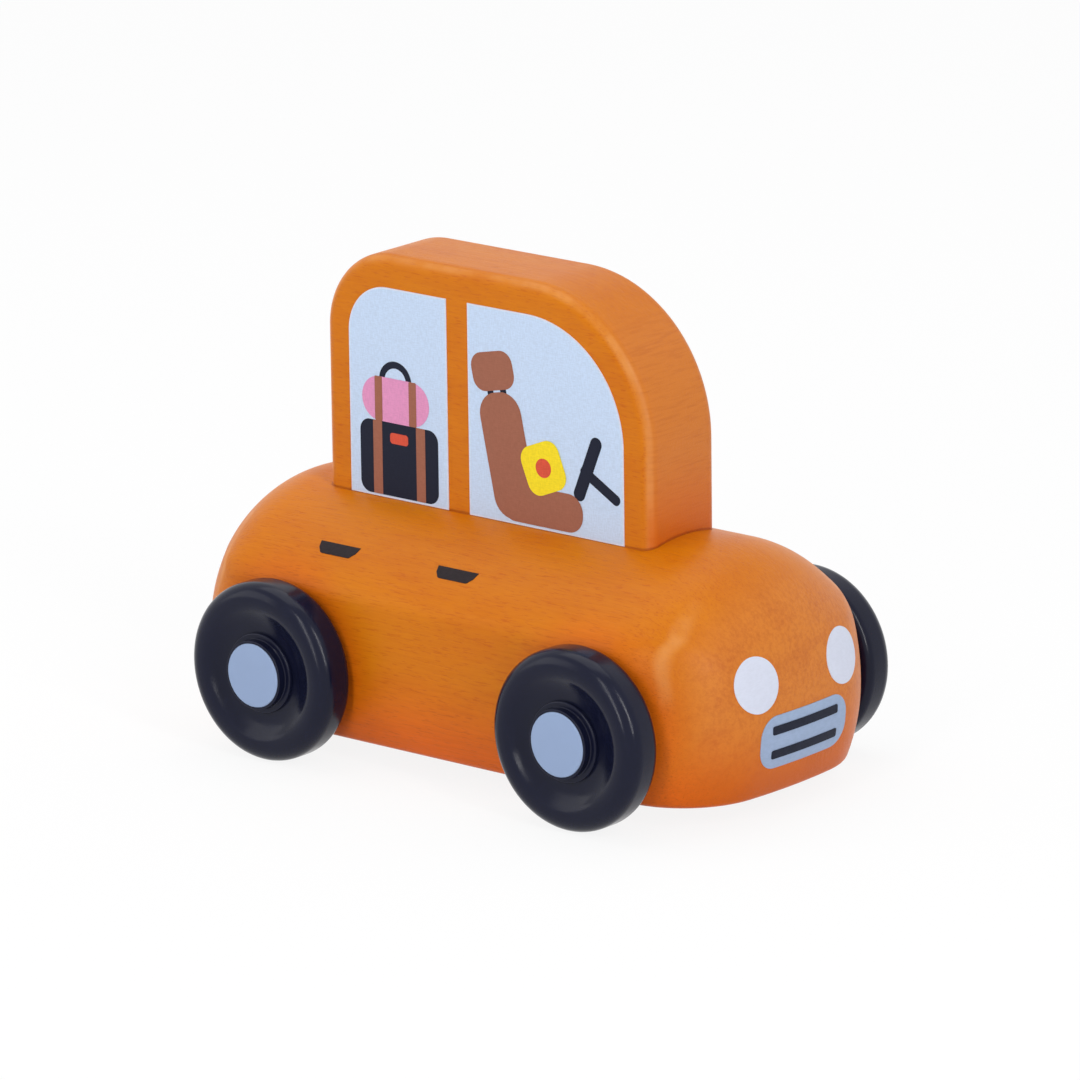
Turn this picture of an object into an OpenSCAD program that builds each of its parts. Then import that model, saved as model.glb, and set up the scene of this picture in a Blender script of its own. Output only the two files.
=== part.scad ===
// Wooden push-along toy car.
// A rounded solid body with a flat cabin board let into its deck, four loose wheels on two axles,
// and thin printed films for the windows, door handles, headlights and grille.
// X points to the front, Y to the left, Z up. The origin is on the ground below the middle of the car.

/* [Body block] */
// Distance between the two axles
wheelbase = 60; // [52:0.5:72]
// Length of the body in front of the front axle
front_overhang = 21.6; // [20:0.1:30]
// Length of the body behind the rear axle
rear_overhang = 24.9; // [20:0.1:32]
// Width of the body at its widest
body_width = 49; // [44:0.2:56]
// Gap between the ground and the flat underside
ground_clearance = 3.3; // [2:0.1:6]
// Height of the lower part, from the underside up to the widest line
flank_height = 11.9; // [9:0.1:15]
// Height of the upper part, from the widest line up to the middle of the deck
upper_height = 23.75; // [21:0.05:30]
// Depth of the rounded edge between the flank and the deck or the tail
edge_depth = 13.5; // [12.5:0.1:15]
// Radius with which the flank rolls over into the deck
shoulder_radius = 5; // [4:0.1:10]
// Radius with which the flank turns into the tail
tail_corner_radius = 9; // [6:0.1:11.5]
// Radius with which the flank turns into the nose
nose_corner_radius = 16.2; // [12:0.1:18]
// Rise of the nose's slight curve between its two corners
nose_bulge = 0.4; // [0.3:0.1:3]
// Radius with which the flank curves in under the widest line
under_radius = 32; // [22:0.5:60]

/* [Nose and tail] */
// Radius of the bonnet's curve at the flank
bonnet_flank_radius = 1.2; // [1:0.1:8]
// Radius of the boot's curve at the flank
boot_flank_radius = 0.4; // [0.2:0.1:4]
// Angle at which the curve of the nose gives way to that of the bonnet
nose_turn = 14; // [10:1:30]
// Angle at which the curve of the tail gives way to that of the boot
tail_turn = 25; // [15:1:35]

/* [Cabin board] */
// Thickness of the cabin board
cabin_thickness = 16; // [12:0.2:22]
// Length of the cabin board
cabin_length = 63.9; // [58:0.1:68]
// Distance from the tail of the body to the back of the cabin
cabin_setback = 19.5; // [16:0.1:24]
// Height of the cabin above the middle of the deck
cabin_height = 37.1; // [32:0.1:44]
// Radius of the cabin's upper front corner
cabin_front_radius = 23.5; // [18:0.1:28]
// Radius of the cabin's upper rear corner
cabin_rear_radius = 12.7; // [9:0.1:18]
// Round-over on the edges of the cabin board
cabin_edge_radius = 2; // [1:0.1:3]
// Depth to which the cabin is let into the deck
cabin_seat_depth = 3; // [2:0.1:5]
// Diameter of the two dowels in the cabin joint
dowel_diameter = 6; // [4:0.5:8]
// Length of a dowel
dowel_length = 22; // [16:0.5:26]
// Distance between the two dowels
dowel_spacing = 32; // [24:0.5:40]

/* [Wheels and axles] */
// Radius of a wheel over its tread
wheel_radius = 14; // [12:0.1:16]
// Width of the tyre
tyre_width = 6.4; // [5.8:0.1:9]
// Radius of the tyre's outer edge
tyre_outer_edge = 2.5; // [1.5:0.1:3]
// Radius of the tyre's inner edge
tyre_inner_edge = 1.6; // [1:0.1:2.5]
// Radius of the boss that holds the hub cap
boss_radius = 5.4; // [5.3:0.1:6]
// Height of the boss above the outer face of the tyre
boss_rise = 0.7; // [0.4:0.1:1.5]
// Width of the stepped ring round the foot of the boss
boss_step = 0.9; // [0.5:0.1:1.5]
// Width of the flat rim between the dish and the tyre's outer edge
rim_land = 0.4; // [0.2:0.1:1]
// Depth of the dish between the boss and the rim
dish_depth = 1.3; // [0.6:0.1:1.6]
// Height of the inner boss that keeps the tyre off the body
standoff = 0.35; // [0.3:0.05:1.5]
// Thickness of the wheel's wall and web
wheel_wall = 2.4; // [1.8:0.1:3]
// Radius of a hub cap
hub_cap_radius = 5; // [4.6:0.1:5.1]
// Thickness of a hub cap
hub_cap_thickness = 1.2; // [0.8:0.1:1.6]
// Height of the hub cap above the end of the boss
hub_cap_rise = 0.2; // [0:0.1:0.4]
// Diameter of the axles
axle_diameter = 4; // [3:0.5:5]
// Width of a push nut's ring
push_nut_rim = 1.3; // [0.8:0.1:1.6]
// Thickness of a push nut
push_nut_thickness = 0.6; // [0.4:0.1:0.8]

/* [Prints] */
// Thickness of the printed films
film = 0.12; // [0.08:0.01:0.3]
// Width of the wooden frame left round the windows
window_frame = 5; // [3:0.1:8]
// Width of the pillar between the windows
window_pillar = 4.2; // [2:0.1:8]
// Distance from the back of the cabin to the middle of the pillar
pillar_place = 26.6; // [20:0.1:34]
// Length of a door handle along its upper edge
handle_length = 7.9; // [5:0.1:12]
// Distance from the middle of the deck down to the handles' upper edge
handle_drop = 6.2; // [5:0.1:8]
// Height of a door handle seen from the side
handle_height = 1.15; // [0.8:0.05:2]
// Distance from the back of the cabin to the middle of the rear handle
rear_handle_place = 12; // [8:0.1:18]
// Distance between the rear and front handles
handle_spacing = 23.4; // [16:0.1:30]
// Diameter of a headlight
headlight_diameter = 8.5; // [6:0.1:9.4]
// Distance between the middles of the headlights
headlight_spacing = 20.4; // [16:0.1:24]
// Height of the headlights' middle above the widest line
headlight_rise = 6.4; // [5:0.1:9]
// Width of the grille plate
grille_width = 20.4; // [12:0.1:22]
// Height of the grille plate
grille_height = 8.3; // [7.8:0.1:9]
// Corner radius of the grille plate
grille_corner = 3.4; // [1:0.1:3.8]
// Distance of the grille's middle below the widest line
grille_fall = 3; // [1:0.1:4]
// Length of a grille bar
grille_bar_length = 15.5; // [8:0.1:18]
// Thickness of a grille bar
grille_bar_height = 1.35; // [0.8:0.05:2]
// Distance between the two grille bars
grille_bar_spacing = 3.8; // [2.5:0.1:5]

/* [Hidden] */
$fn = 96;

// Clearances
glue_gap = 0.05;
axle_fit = 0.02;
wheel_fit = 0.05;
wheel_gap = 0.3;
push_nut_float = 0.2;
axle_end_gap = 0.4;
overlap = 1;

// Body block
half_width = body_width / 2;
body_length = wheelbase + front_overhang + rear_overhang;
nose_x = body_length / 2;
tail_x = -nose_x;
belt_z = ground_clearance + flank_height;
deck_z = belt_z + upper_height;
front_axle_x = nose_x - front_overhang;
rear_axle_x = tail_x + rear_overhang;

// Fineness of the body's skin
columns = 20;
under_rows = 3;
nose_rows = 3;
bonnet_rows = 8;

// The two ends: place of the tip, radius next to the deck, radius and depth of the corners, and the angle
// at which the curve from the widest line meets the curve to the deck
nose_depth = nose_corner_radius + nose_bulge;
NOSE = [nose_x, nose_depth + bonnet_flank_radius, nose_corner_radius, nose_depth, nose_turn];
TAIL = [-tail_x, edge_depth + boot_flank_radius, tail_corner_radius, edge_depth, tail_turn];
function end_tip(end) = end[0];
function end_upper(end) = end[1];
function end_corner(end) = end[2];
function end_depth(end) = end[3];
function end_turn(end) = end[4];
function end_lower(end) = end_upper(end) + (upper_height - end_upper(end)) / sin(end_turn(end));

// Crown of the rounded edge: a wide arc between two arcs of the given radius
function crown_of(radius, depth) =
    let (rise = depth - radius, reach = half_width - radius)
    reach * reach / (2 * rise) + radius + rise / 2;
function crown_reach(radius, depth) =
    let (crown = crown_of(radius, depth))
    crown * (half_width - radius) / (crown - radius);

// Depth of the rounded edge's surface below its middle, at the given distance from the middle line
function crown_drop(y, radius, depth) =
    let (crown = crown_of(radius, depth), past = abs(y) - half_width + radius)
    abs(y) < crown_reach(radius, depth)
        ? crown - sqrt(crown * crown - y * y)
        : depth - sqrt(max(0, radius * radius - past * past));

// Direction in which the nose or tail faces, seen from above, at the given distance from the middle line
function crown_facing(y, radius, depth) =
    let (past = abs(y) - half_width + radius)
    abs(y) < crown_reach(radius, depth)
        ? asin(y / crown_of(radius, depth))
        : sign(y) * asin(min(1, past / radius));

// Cabin board
cabin_rear_x = tail_x + cabin_setback;
cabin_front_x = cabin_rear_x + cabin_length;
cabin_mid_x = (cabin_rear_x + cabin_front_x) / 2;
cabin_foot_z = deck_z - cabin_seat_depth;
cabin_top_z = deck_z + cabin_height;
cabin_side = cabin_thickness / 2;
seam_z = deck_z - crown_drop(cabin_side, shoulder_radius, edge_depth);

// Wheels, measured outwards from the inner face of the wheel
axle_radius = axle_diameter / 2;
wheel_side = half_width + wheel_gap;
tyre_back = standoff;
tyre_face = standoff + tyre_width;
boss_face = tyre_face + boss_rise;
cap_face = boss_face + hub_cap_rise;
cap_back = cap_face - hub_cap_thickness;
axle_end = cap_back - axle_end_gap;
push_nut_radius = axle_radius + push_nut_rim;
push_nut_back = axle_end - 2 * push_nut_thickness;
pocket_floor = push_nut_back - push_nut_float;
pocket_radius = push_nut_radius + wheel_fit + (hub_cap_radius - push_nut_radius) / 2;
ring_radius = boss_radius + boss_step;
ring_face = tyre_face - dish_depth / 2;
rim_radius = wheel_radius - tyre_outer_edge;
dish_half = (rim_radius - rim_land - boss_radius) / 2;
dish_radius = (dish_half * dish_half + dish_depth * dish_depth) / (2 * dish_depth);

// Prints
window_foot_z = seam_z + glue_gap;
pillar_x = cabin_rear_x + pillar_place;
rear_handle_x = cabin_rear_x + rear_handle_place;
headlight_z = belt_z + headlight_rise;
grille_z = belt_z - grille_fall;

// The four corners of the car: name, place of the axle, side
CORNERS = [
    ["front_left", front_axle_x, 1],
    ["front_right", front_axle_x, -1],
    ["rear_left", rear_axle_x, 1],
    ["rear_right", rear_axle_x, -1]
];
SIDES = [["left", 1], ["right", -1]];

// Point of the body's skin above the widest line, on an end that points to +X.
// The turn is 0 where the end faces forwards and 90 where it runs into the deck.
function upper_point(turn, y, end, grow) =
    let (
        upper = end_upper(end),
        lower = end_lower(end),
        blend = sin(turn) * sin(turn),
        radius = end_corner(end) + (shoulder_radius - end_corner(end)) * blend,
        depth = end_depth(end) + (edge_depth - end_depth(end)) * blend,
        low = turn < end_turn(end),
        shift = low ? [0, 0] : (lower - upper) * [cos(end_turn(end)), sin(end_turn(end))],
        out = (low ? lower : upper) - crown_drop(y, radius, depth) + grow
    )
    [end_tip(end) - lower + shift[0] + out * cos(turn), y, belt_z + shift[1] + out * sin(turn)];

// Point of the body's skin below the widest line, on an end that points to +X
function under_point(fall, y, end, grow) =
    let (
        inset = under_radius - sqrt(under_radius * under_radius - fall * fall) - grow,
        facing = crown_facing(y, end_corner(end), end_depth(end))
    )
    [
        end_tip(end) - crown_drop(y, end_corner(end), end_depth(end)) - inset * cos(facing),
        y - inset * sin(facing),
        belt_z - fall
    ];

// One row of the skin over an end that points to +X, from its right flank to its left flank
function end_row(row, end, grow) =
    [for (column = [0 : columns])
        let (
            y = half_width * sin(90 * (2 * column / columns - 1)),
            above = row - under_rows,
            turn = above <= nose_rows
                ? end_turn(end) * above / nose_rows
                : end_turn(end) + (90 - end_turn(end)) * (above - nose_rows) / bonnet_rows
        )
        above < 0
            ? under_point(-above * flank_height / under_rows, y, end, grow)
            : upper_point(turn, y, end, grow)
    ];

// Body without its bores and its seat for the cabin, with its skin moved outwards by the given amount
module body_form(grow = 0) {
    last_row = under_rows + nose_rows + bonnet_rows;
    around = 2 * (columns + 1);
    rows = [for (row = [0 : last_row])
        let (
            nose = end_row(row, NOSE, grow),
            tail = end_row(row, TAIL, grow)
        )
        concat(nose, [for (column = [columns : -1 : 0]) [-tail[column][0], tail[column][1], tail[column][2]]])
    ];
    points = [for (row = rows) each row];
    skin = [for (row = [0 : last_row - 1], place = [0 : around - 1])
        let (
            low = row * around + place,
            low_next = row * around + (place + 1) % around
        )
        each [[low, low + around, low_next + around], [low, low_next + around, low_next]]
    ];
    underside = [[for (place = [0 : around - 1]) place]];
    top = last_row * around;
    deck = [for (column = [0 : columns - 1])
        [top + column, top + around - 1 - column, top + around - 2 - column, top + column + 1]
    ];
    polyhedron(points, concat(underside, skin, deck));
}

// Turns a shape drawn in the X-Y plane up into the X-Z plane
module upright() {
    rotate([90, 0, 0])
        children();
}

// Lays a cross section along X from one place to another
module along_x(from, to) {
    translate([from, 0, 0])
        rotate([90, 0, 90])
            linear_extrude(to - from)
                children();
}

// Rectangle with rounded corners, centred
module rounded_rectangle(size, corner) {
    square([size[0] - 2 * corner, size[1]], center = true);
    square([size[0], size[1] - 2 * corner], center = true);
    for (x = [-1, 1], y = [-1, 1])
        translate([x * (size[0] / 2 - corner), y * (size[1] / 2 - corner)])
            circle(corner);
}

// Rod or bore across the car at one axle
module cross_rod(x, radius, length) {
    translate([x, 0, wheel_radius])
        rotate([90, 0, 0])
            cylinder(r = radius, h = length, center = true);
}

// Rod or bore of one dowel
module dowel_rod(end, radius, length) {
    translate([cabin_mid_x + end * dowel_spacing / 2, 0, cabin_foot_z])
        cylinder(r = radius, h = length, center = true);
}

module body_block() {
    color("darkorange")
        difference() {
            body_form();
            translate([cabin_mid_x, 0, cabin_foot_z])
                linear_extrude(cabin_height)
                    rounded_rectangle(
                        [cabin_length + 2 * glue_gap, cabin_thickness + 2 * glue_gap],
                        cabin_edge_radius + glue_gap
                    );
            for (x = [front_axle_x, rear_axle_x])
                cross_rod(x, axle_radius + axle_fit, 2 * body_width);
            for (end = [-1, 1])
                dowel_rod(end, dowel_diameter / 2 + axle_fit, dowel_length + 2 * glue_gap);
        }
}

// Board in cross section, with its two outer edges rounded over and its foot at the origin
module board_section(height) {
    edge_y = cabin_side - cabin_edge_radius;
    translate([-cabin_side, 0])
        square([cabin_thickness, height - cabin_edge_radius]);
    translate([-edge_y, 0])
        square([2 * edge_y, height]);
    for (side = [-1, 1])
        translate([side * edge_y, height - cabin_edge_radius])
            circle(cabin_edge_radius);
}

// One upper corner of the cabin, with the upright below it, pointing to +X
module cabin_end(radius) {
    corner_z = cabin_top_z - radius;
    translate([0, 0, corner_z])
        upright()
            rotate_extrude(angle = 90)
                rotate(-90)
                    board_section(radius);
    translate([0, 0, cabin_foot_z])
        linear_extrude(corner_z - cabin_foot_z)
            rotate(-90)
                board_section(radius);
}

module cabin_block() {
    color("darkorange")
        difference() {
            union() {
                along_x(cabin_rear_x + cabin_rear_radius, cabin_front_x - cabin_front_radius)
                    translate([0, cabin_foot_z])
                        board_section(cabin_top_z - cabin_foot_z);
                translate([cabin_front_x - cabin_front_radius, 0, 0])
                    cabin_end(cabin_front_radius);
                translate([cabin_rear_x + cabin_rear_radius, 0, 0])
                    mirror([1, 0, 0])
                        cabin_end(cabin_rear_radius);
            }
            for (end = [-1, 1])
                dowel_rod(end, dowel_diameter / 2 + axle_fit, dowel_length + 2 * glue_gap);
        }
}

module dowel(end) {
    color("burlywood")
        dowel_rod(end, dowel_diameter / 2, dowel_length);
}

module axle(x) {
    color("silver")
        cross_rod(x, axle_radius, 2 * (wheel_side + axle_end));
}

// Puts a turned piece on its axle end, with its own axis pointing outwards
module at_corner(corner) {
    translate([corner[1], corner[2] * wheel_side, wheel_radius])
        rotate([-90 * corner[2], 0, 0])
            children();
}

// Outline of the tyre: flat across its tread, with its two edges rounded
module tyre_section() {
    inner_r = wheel_radius - tyre_inner_edge;
    inner_edge = tyre_back + tyre_inner_edge;
    outer_edge = tyre_face - tyre_outer_edge;
    translate([0, tyre_back])
        square([rim_radius, tyre_width]);
    translate([0, tyre_back])
        square([inner_r, outer_edge - tyre_back]);
    translate([0, inner_edge])
        square([wheel_radius, outer_edge - inner_edge]);
    translate([inner_r, inner_edge])
        circle(tyre_inner_edge);
    translate([rim_radius, outer_edge])
        circle(tyre_outer_edge);
}

// Half section of a wheel
module wheel_section() {
    recess_r = boss_radius + wheel_wall / 2;
    difference() {
        union() {
            difference() {
                tyre_section();
                translate([boss_radius + dish_half, tyre_face - dish_depth + dish_radius])
                    circle(dish_radius);
                translate([recess_r, 0])
                    square([rim_radius - boss_radius - wheel_wall, tyre_face - dish_depth - wheel_wall]);
            }
            square([ring_radius, ring_face]);
            square([boss_radius, boss_face]);
        }
        translate([0, -overlap])
            square([axle_radius + wheel_fit, boss_face + 2 * overlap]);
        translate([0, pocket_floor])
            square([pocket_radius, boss_face]);
        translate([0, cap_back])
            square([hub_cap_radius + axle_fit, boss_face]);
    }
}

module wheel(corner) {
    color("darkslategray")
        at_corner(corner)
            rotate_extrude()
                wheel_section();
}

module hub_cap(corner) {
    color("lightsteelblue")
        at_corner(corner)
            translate([0, 0, cap_back])
                cylinder(r = hub_cap_radius, h = hub_cap_thickness);
}

module push_nut(corner) {
    color("gray")
        at_corner(corner)
            translate([0, 0, push_nut_back])
                difference() {
                    cylinder(r = push_nut_radius, h = push_nut_thickness);
                    translate([0, 0, -overlap])
                        cylinder(r = axle_radius + axle_fit, h = push_nut_thickness + 2 * overlap);
                }
}

// Outline of the cabin seen from the side, drawn in by the window frame, down to the seam
module glazing_outline() {
    rear = cabin_rear_x + cabin_rear_radius;
    front = cabin_front_x - cabin_front_radius;
    top = cabin_top_z - window_frame;
    intersection() {
        union() {
            translate([rear, window_foot_z])
                square([front - rear, top - window_foot_z]);
            translate([cabin_rear_x + window_frame, window_foot_z])
                square([cabin_rear_radius, cabin_top_z - cabin_rear_radius - window_foot_z]);
            translate([front, window_foot_z])
                square([cabin_front_radius - window_frame, cabin_top_z - cabin_front_radius - window_foot_z]);
            translate([rear, cabin_top_z - cabin_rear_radius])
                circle(cabin_rear_radius - window_frame);
            translate([front, cabin_top_z - cabin_front_radius])
                circle(cabin_front_radius - window_frame);
        }
        translate([cabin_rear_x, window_foot_z])
            square([cabin_length, cabin_height]);
    }
}

// Window film on one side of the cabin; end 1 is the front window, end -1 the rear one
module window(side, end) {
    start_x = end > 0 ? pillar_x + window_pillar / 2 : cabin_rear_x;
    end_x = end > 0 ? cabin_front_x : pillar_x - window_pillar / 2;
    color("lightblue")
        translate([0, side * (cabin_side + film / 2), 0])
            upright()
                linear_extrude(film, center = true)
                    intersection() {
                        glazing_outline();
                        translate([start_x, cabin_foot_z])
                            square([end_x - start_x, cabin_height + cabin_seat_depth]);
                    }
}

// Film on the body's skin, lying on the given number of films, inside a cutter that reaches into the body
module skin_film(under = 0) {
    difference() {
        intersection() {
            body_form((under + 1) * film);
            children();
        }
        body_form(under * film);
    }
}

// Door handle film: a flat upper edge with slanted ends
module handle(side, x) {
    top_z = deck_z - handle_drop;
    foot_half = handle_length / 2 - handle_height;
    color("midnightblue")
        skin_film()
            translate([0, side * (half_width + cabin_side) / 2, 0])
                upright()
                    linear_extrude(half_width - cabin_side, center = true)
                        polygon([
                            [x - handle_length / 2, top_z],
                            [x + handle_length / 2, top_z],
                            [x + foot_half, top_z - handle_height],
                            [x - foot_half, top_z - handle_height]
                        ]);
}

// Extrudes an outline, drawn as left and up, along X through the nose
module through_nose() {
    along_x(nose_x - nose_depth, nose_x + nose_depth)
        children();
}

module headlight(side) {
    color("white")
        skin_film()
            through_nose()
                translate([side * headlight_spacing / 2, headlight_z])
                    circle(d = headlight_diameter);
}

module grille_plate() {
    color("lightsteelblue")
        skin_film()
            through_nose()
                translate([0, grille_z])
                    rounded_rectangle([grille_width, grille_height], grille_corner);
}

module grille_bar(end) {
    color("midnightblue")
        skin_film(1)
            through_nose()
                translate([0, grille_z + end * grille_bar_spacing / 2])
                    square([grille_bar_length, grille_bar_height], center = true);
}

body_block();
cabin_block();
dowel(1);  // front_dowel
dowel(-1);  // rear_dowel
axle(front_axle_x);  // front_axle
axle(rear_axle_x);  // rear_axle
for (corner = CORNERS) {
    wheel(corner);
    hub_cap(corner);
    push_nut(corner);
}
for (side = SIDES) {
    window(side[1], 1);
    window(side[1], -1);
    handle(side[1], rear_handle_x + handle_spacing);
    handle(side[1], rear_handle_x);
    headlight(side[1]);
}
grille_plate();
grille_bar(1);  // upper_grille_bar
grille_bar(-1);  // lower_grille_bar
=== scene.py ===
"""Dresses a wooden push-along toy car: dyed wood, moulded wheels, printed films and a studio stage."""

import math
from collections import namedtuple

import bmesh
import bpy
from bpy.props import FloatProperty, FloatVectorProperty, IntProperty, PointerProperty
from bpy.types import Operator, Panel, PropertyGroup
from mathutils import Matrix, Vector


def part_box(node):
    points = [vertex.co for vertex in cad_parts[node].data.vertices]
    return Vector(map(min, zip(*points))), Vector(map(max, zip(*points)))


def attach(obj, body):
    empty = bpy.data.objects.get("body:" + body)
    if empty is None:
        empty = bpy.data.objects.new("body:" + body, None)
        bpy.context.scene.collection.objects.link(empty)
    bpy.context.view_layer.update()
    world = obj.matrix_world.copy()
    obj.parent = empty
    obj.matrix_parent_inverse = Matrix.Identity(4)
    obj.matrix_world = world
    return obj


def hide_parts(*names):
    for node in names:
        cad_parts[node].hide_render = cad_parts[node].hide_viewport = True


bl_info = {
    "name": "Wooden Toy Car",
    "version": (1, 0, 0),
    "blender": (4, 5, 0),
    "location": "View3D > Sidebar > Toy Car",
    "description": "Builds the wood, wheels, prints and stage of a wooden push-along car on its packed frame",
    "category": "Object",
}

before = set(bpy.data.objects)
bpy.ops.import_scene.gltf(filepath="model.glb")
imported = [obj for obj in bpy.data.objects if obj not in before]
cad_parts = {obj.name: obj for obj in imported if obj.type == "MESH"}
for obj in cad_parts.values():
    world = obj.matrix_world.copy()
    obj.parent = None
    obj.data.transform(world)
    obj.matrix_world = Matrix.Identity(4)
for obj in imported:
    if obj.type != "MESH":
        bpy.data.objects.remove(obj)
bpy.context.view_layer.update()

# One millimetre; the car's sizes below are in millimetres until they become a mesh
MM = 0.001

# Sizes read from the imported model
BODY_LOW, BODY_HIGH = [[value / MM for value in corner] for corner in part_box("body_block")]
CABIN_LOW, CABIN_HIGH = [[value / MM for value in corner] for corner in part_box("cabin_block")]
NOSE_X, TAIL_X, HALF_WIDTH = BODY_HIGH[0], BODY_LOW[0], BODY_HIGH[1]
FOOT_Z, DECK_Z = BODY_LOW[2], BODY_HIGH[2]
CABIN_SIDE, CABIN_TOP = CABIN_HIGH[1], CABIN_HIGH[2]
CABIN_REAR, CABIN_FRONT = CABIN_LOW[0], CABIN_HIGH[0]
CABIN_FOOT = CABIN_LOW[2]

# Body block
BELT_Z = FOOT_Z + 11.9
EDGE_DEPTH = 13.5
SHOULDER_RADIUS = 5.0
UNDER_RADIUS = 32.0

# The two ends of the body: tip, radius next to the deck, radius and depth of the corners seen from above,
# and the angle at which the curve next to the widest line turns into the one next to the deck
End = namedtuple("End", "tip upper corner depth turn")
NOSE = End(tip=NOSE_X, upper=17.8, corner=16.2, depth=16.6, turn=math.radians(14))
TAIL = End(tip=-TAIL_X, upper=13.9, corner=9.0, depth=EDGE_DEPTH, turn=math.radians(25))

# Cabin board
CABIN_FRONT_RADIUS = 23.5
CABIN_REAR_RADIUS = 12.7
CABIN_EDGE = 2.0

# Wheels, measured outwards from their inner face
WHEEL_RADIUS = 14.0
WHEEL_SIDE = HALF_WIDTH + 0.3
TYRE_BACK = 0.35
TYRE_FACE = 6.75
TYRE_OUTER_EDGE = 2.5
TYRE_INNER_EDGE = 1.6
BOSS_RADIUS = 5.4
BOSS_FACE = 7.45
RING_RADIUS = 6.3
LIP_RADIUS = 3.2
LIP_INSET = 0.2
DISH_DEPTH = 1.3
RECESS_INNER = 6.6
RECESS_OUTER = 10.3
RECESS_FLOOR = 3.05
AXLE_BORE = 2.05
POCKET_RADIUS = 4.2
POCKET_FLOOR = 4.65
CAP_BACK = 6.45
CAP_FACE = 7.65
CAP_RADIUS = 5.0
CAP_SEAT_RADIUS = CAP_RADIUS + 0.02

# Places of the two axles along the car
AXLES = [sum(corner[0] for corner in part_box(end + "_axle")) / 2 / MM for end in ("front", "rear")]

# Prints on the body, which are pressed on from some way off; the grille's plate and bars have a width,
# a height and a corner radius
FILM = 0.12
PRESS_WAY = 20.0
LAMP_RADIUS = 4.25
LAMP_SIDE = 10.2
LAMP_Z = BELT_Z + 6.4
PLATE = (20.4, 8.3, 3.4)
PLATE_Z = BELT_Z - 3.0
BAR = (15.5, 1.35, 0.3)
BAR_STEP = 1.9
HANDLE_X = {"front": CABIN_REAR + 35.4, "rear": CABIN_REAR + 12.0}
HANDLE_TOP = DECK_Z - 6.1
HANDLE_HALF = 3.95

# Windows: wooden frame, white rim, gaps from the deck up to the film and to the design, and the pillar
WINDOW_FRAME = 5.0
WINDOW_RIM = 0.22
WINDOW_GAP = 0.05
ART_GAP = 0.3
PILLAR_X = CABIN_REAR + 26.6
PILLAR_HALF = 2.1
LUGGAGE_X = PILLAR_X - 11.8
SEAT_X = PILLAR_X + 13.2
INKS = ("window", "white", "navy", "brown", "pink", "yellow", "coral")

# Stage, in metres: place and size of each softbox, the spot they point at, the way to the backdrop, and half
# the width of the floor with its share of plain white
SOFTBOXES = {
    "top": ((-0.2, 0.1, 1.0), (1.0, 0.8)),
    "left": ((0.20, -0.90, 0.45), (0.14, 0.9)),
    "right": ((0.82, -0.28, 0.50), (0.12, 0.75)),
    "fill": ((-0.75, -0.70, 0.40), (0.6, 0.6)),
}
LAMP_AIM = (0.0, 0.0, 0.035)
BACKDROP_WAY = (-0.62, 0.74, 0.27)
FLOOR_HALF = 6.0
FLOOR_GLOW = 0.88

# Names of the wheels' corners, and of the sides with their signs across the car
CORNERS = ("front_left", "front_right", "rear_left", "rear_right")
SIDES = {"left": 1, "right": -1}


def linear(value):
    """Turns one sRGB channel into the linear value that shaders use."""
    return value / 12.92 if value <= 0.04045 else ((value + 0.055) / 1.055) ** 2.4


def colour(code):
    """Gives the linear colour of a six-digit sRGB code."""
    return [linear(int(code[place:place + 2], 16) / 255) for place in (0, 2, 4)]


def colour_property(name, description, code):
    return FloatVectorProperty(
        name=name, description=description, default=colour(code), subtype="COLOR", size=3, min=0, max=1
    )


def length_property(name, description, default):
    return FloatProperty(name=name, description=description, default=default, unit="LENGTH")


def angle_property(name, description, degrees):
    return FloatProperty(name=name, description=description, default=math.radians(degrees), subtype="ANGLE")


def share_property(name, description, default):
    return FloatProperty(name=name, description=description, default=default, min=0, max=1, subtype="FACTOR")


def number_property(name, description, default):
    return FloatProperty(name=name, description=description, default=default)


class WoodSettings(PropertyGroup):
    """Dye, varnish and grain of the body and the cabin, with their painted shade and painted highlights"""

    dye: colour_property("Dye", "Colour of the dyed wood on the flanks", "D57B07")
    dark_dye: colour_property("Dark dye", "Colour of the grain on the flanks", "BD5604")
    # Painted shade: the redder tone low on the flanks, beside the wheels, and low on the ends
    shade_tint: colour_property("Painted shade", "Colour of the lower flanks and beside the wheels", "E96A14")
    end_shade_tint: colour_property("Painted end shade", "Colour low on the nose, tail and cabin front", "D26106")
    end_dye: colour_property("End grain", "Colour of the dyed end grain on the nose and tail", "D67F30")
    dark_end_dye: colour_property("Dark end grain", "Colour of the specks in the end grain", "BE6226")
    seam_dye: colour_property("Seam", "Colour of the glue line round the foot of the cabin", "7E2410")
    # Painted highlight on the body's upper corners and along the cabin's rounded edges
    gleam_dye: colour_property("Painted highlight", "Colour of the dye where corners and edges are rubbed", "E9A662")
    roughness: share_property("Roughness", "Roughness of the varnish", 0.36)
    grain: share_property("Grain", "Strength of the wood grain", 0.65)
    foot_ease: length_property("Foot ease", "Radius of the eased lower edge", 0.0008)


class WheelSettings(PropertyGroup):
    """Wheels and hub caps"""

    plastic: colour_property("Plastic", "Colour of the wheels", "12152A")
    cap: colour_property("Hub cap", "Colour of the hub caps", "93A7C9")
    segments: IntProperty(
        name="Segments", description="Steps round a turned piece", default=112, min=24, max=256
    )
    fillet: length_property("Fillet", "Radius of the small moulded edges", 0.00025)


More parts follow.
